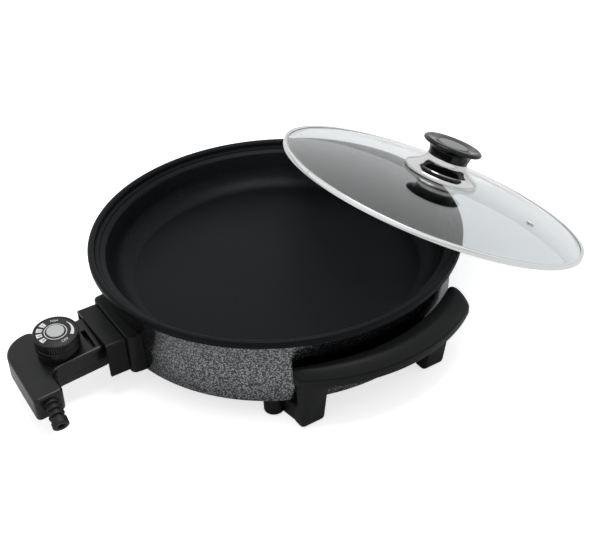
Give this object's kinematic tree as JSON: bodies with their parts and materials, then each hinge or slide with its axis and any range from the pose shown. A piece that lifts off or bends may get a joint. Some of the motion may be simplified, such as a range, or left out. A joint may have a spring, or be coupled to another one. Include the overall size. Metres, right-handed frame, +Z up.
{
  "type": "electric griddle",
  "caption": "Round electric pan with crescent handles on legs, a plug-in thermostat probe with a dial, and a domed glass lid leaning on the rim.",
  "frame": {"origin": "centre of the cooking floor, on the pan's axis", "axes": "+Z up; +X towards the right handle; -Y towards the socket and probe; +Y towards the leaning lid"},
  "size_m": [0.439, 0.6771, 0.1623],
  "materials": {
    "hammertone_casting": "dark grey hammertone paint on die-cast aluminium",
    "nonstick_coating": "satin black non-stick coating",
    "element_steel": "heat-dulled steel",
    "ceramic": "fired ceramic",
    "bracket_phenolic": "moulded black phenolic, satin",
    "handle_phenolic": "moulded black phenolic, satin",
    "probe_plastic": "moulded black thermoset, satin",
    "dial_phenolic": "moulded black, fine knurl",
    "dial_print": "light grey print",
    "rubber": "matt black",
    "fastener_steel": "zinc-plated steel",
    "brass": "plain",
    "lid_glass": "clear tempered glass",
    "band_steel": "brushed stainless steel",
    "knob_gloss": "glossy black phenolic",
    "knob_insert": "matt grey"
  },
  "bodies": {
    "pan": {"pan_casting": "hammertone_casting", "heating_element": "element_steel", "terminal_pin_left": "element_steel", "terminal_pin_right": "element_steel", "ceramic_bead_left": "ceramic", "ceramic_bead_right": "ceramic", "sensor_sleeve": "element_steel", "socket_flange": "bracket_phenolic", "socket_collar": "bracket_phenolic", "bracket_screw_left": "fastener_steel", "bracket_screw_right": "fastener_steel", "bracket_nut_left": "fastener_steel", "bracket_nut_right": "fastener_steel", "handle_left": "handle_phenolic", "handle_right": "handle_phenolic", "handle_washer_left_front": "fastener_steel", "handle_washer_left_rear": "fastener_steel", "handle_washer_right_front": "fastener_steel", "handle_washer_right_rear": "fastener_steel", "handle_screw_left_front": "fastener_steel", "handle_screw_left_rear": "fastener_steel", "handle_screw_right_front": "fastener_steel", "handle_screw_right_rear": "fastener_steel"},
    "lid": {"lid_glass": "lid_glass", "lid_band": "band_steel", "vent_grommet": "band_steel", "knob_skirt": "band_steel", "knob_gasket": "rubber", "knob_body": "knob_gloss", "knob_insert": "knob_insert", "knob_washer": "fastener_steel", "knob_screw": "fastener_steel"},
    "probe": {"probe_shell_upper": "probe_plastic", "probe_shell_lower": "probe_plastic", "shell_screw_neck": "fastener_steel", "shell_screw_arm": "fastener_steel", "shell_screw_cord": "fastener_steel", "probe_nose": "bracket_phenolic", "sensing_rod": "element_steel", "contact_sleeve_left": "brass", "contact_sleeve_right": "brass", "bus_bar_left": "brass", "bus_bar_right": "brass", "thermostat_frame": "fastener_steel", "bimetal_blade": "brass", "contact_spring": "fastener_steel", "cord_clamp": "bracket_phenolic", "strain_relief": "rubber", "dial_pedestal": "dial_phenolic"},
    "dial": {"dial_knob": "dial_phenolic", "dial_scale_disc": "dial_phenolic", "dial_centre_cap": "dial_print", "dial_shaft": "fastener_steel"}
  },
  "joints": [
    {"name": "lid_lift", "type": "slide", "parent": "pan", "child": "lid", "axis": [0, 0, 1], "range_m": [0, 0.15]},
    {"name": "probe_pull", "type": "slide", "parent": "pan", "child": "probe", "axis": [0, -1, 0], "range_m": [0, 0.11]},
    {"name": "dial_turn", "type": "hinge", "parent": "probe", "child": "dial", "pos_m": [-0.00249, -0.256, -0.01376], "axis": [0.0958, 0, 0.9954], "range_deg": [-90, 120]}
  ]
}
